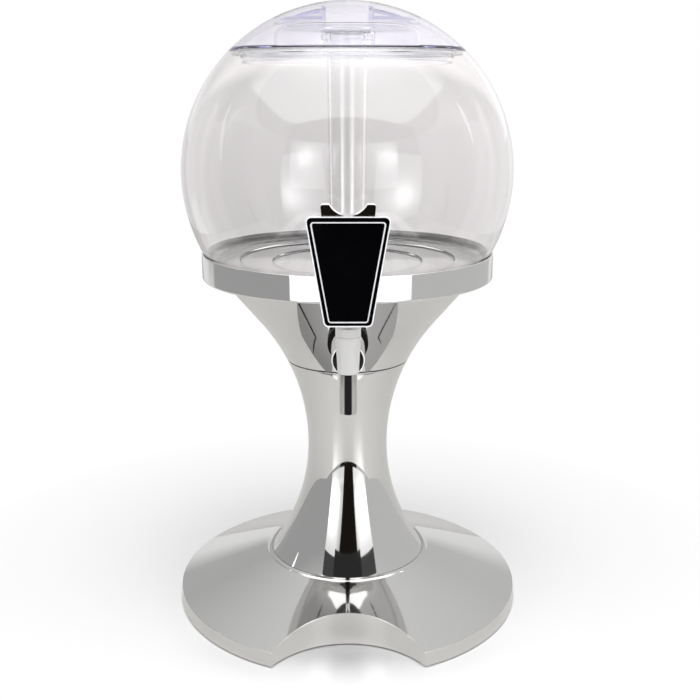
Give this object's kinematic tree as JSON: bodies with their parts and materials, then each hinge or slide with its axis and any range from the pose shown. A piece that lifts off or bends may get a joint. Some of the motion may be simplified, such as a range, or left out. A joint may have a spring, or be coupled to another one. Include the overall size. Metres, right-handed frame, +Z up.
{
  "type": "table-top drink dispenser",
  "caption": "Clear ball-shaped drink tank with lift-off lid and central ice tube, on a flared chrome pedestal with a notched round base and a lever tap in front.",
  "frame": {"origin": "centre of the underside of the feet, on the column's axis", "axes": "+Z up along the column's axis; the tap points to -Y; +X is to the right as the tap is faced"},
  "size_m": [0.2412, 0.2418, 0.4084],
  "materials": {
    "plated_shell": "chrome plated, mirror polished",
    "plated_lever": "chrome plated, polished",
    "tap_chrome": "polished",
    "stem_steel": "bright drawn stainless steel",
    "screw_steel": "zinc plated",
    "clear_plastic": "clear, polished",
    "tube_plastic": "clear, polished",
    "lid_plastic": "clear with a faint blue tint",
    "seat_plastic": "satin silver",
    "white_plastic": "moulded, matte",
    "cover_plastic": "moulded, matte",
    "black_plastic": "moulded, matte",
    "black_rubber": "matte",
    "clear_silicone": "translucent, satin",
    "label_black": "gloss, with a thin silver line inside its edge"
  },
  "bodies": {
    "pedestal": {"base_plate": "plated_shell", "base_cover": "cover_plastic", "rubber_feet": "black_rubber", "cover_screws": "screw_steel", "column_screws": "screw_steel", "column": "plated_shell", "funnel": "plated_shell", "funnel_screws": "screw_steel", "collar_ring": "plated_shell", "seat_plate": "seat_plastic", "seat_screws": "screw_steel", "outlet_manifold": "white_plastic", "manifold_screws": "screw_steel", "tap_gasket": "black_rubber", "tap_lock_nut": "black_plastic", "tap_body": "tap_chrome", "nozzle": "tap_chrome", "shank_seal": "clear_silicone", "stem_seal": "clear_silicone", "bonnet": "tap_chrome"},
    "tank": {"tank": "clear_plastic", "outlet_oring": "black_rubber"},
    "lid": {"lid_dome": "lid_plastic", "lid_plate": "lid_plastic", "lid_skirt": "lid_plastic", "tube_cup": "lid_plastic", "tube_socket": "lid_plastic", "lid_seal": "clear_silicone", "ice_tube_seal": "clear_silicone"},
    "ice_tube": {"ice_tube": "tube_plastic"},
    "stem": {"valve_stem": "stem_steel", "valve_seal": "clear_silicone", "return_spring": "stem_steel"},
    "lever": {"lever": "plated_lever", "label_plate": "label_black", "pivot_pin": "stem_steel"}
  },
  "joints": [
    {"name": "tank_lift", "type": "slide", "parent": "pedestal", "child": "tank", "axis": [0, 0, 1], "range_m": [0, 0.08]},
    {"name": "lid_lift", "type": "slide", "parent": "tank", "child": "lid", "axis": [0, 0, 1], "range_m": [0, 0.125]},
    {"name": "tube_twist", "type": "hinge", "parent": "lid", "child": "ice_tube", "pos_m": [0, 0, 0.386], "axis": [0, 0, 1], "range_deg": [0, 60]},
    {"name": "valve_lift", "type": "slide", "parent": "pedestal", "child": "stem", "axis": [0, 0, 1], "range_m": [0, 0.0032], "deforming": ["return_spring"]},
    {"name": "lever_pull", "type": "hinge", "parent": "stem", "child": "lever", "pos_m": [0, -0.118, 0.22965], "axis": [1, 0, 0], "range_deg": [0, 30], "stiffness_Nm_per_rad": 0.1, "springref_deg": -34.38}
  ],
  "couplings": [
    {"joint": "valve_lift", "follows": "lever_pull", "m_per_rad": 0.0061}
  ]
}
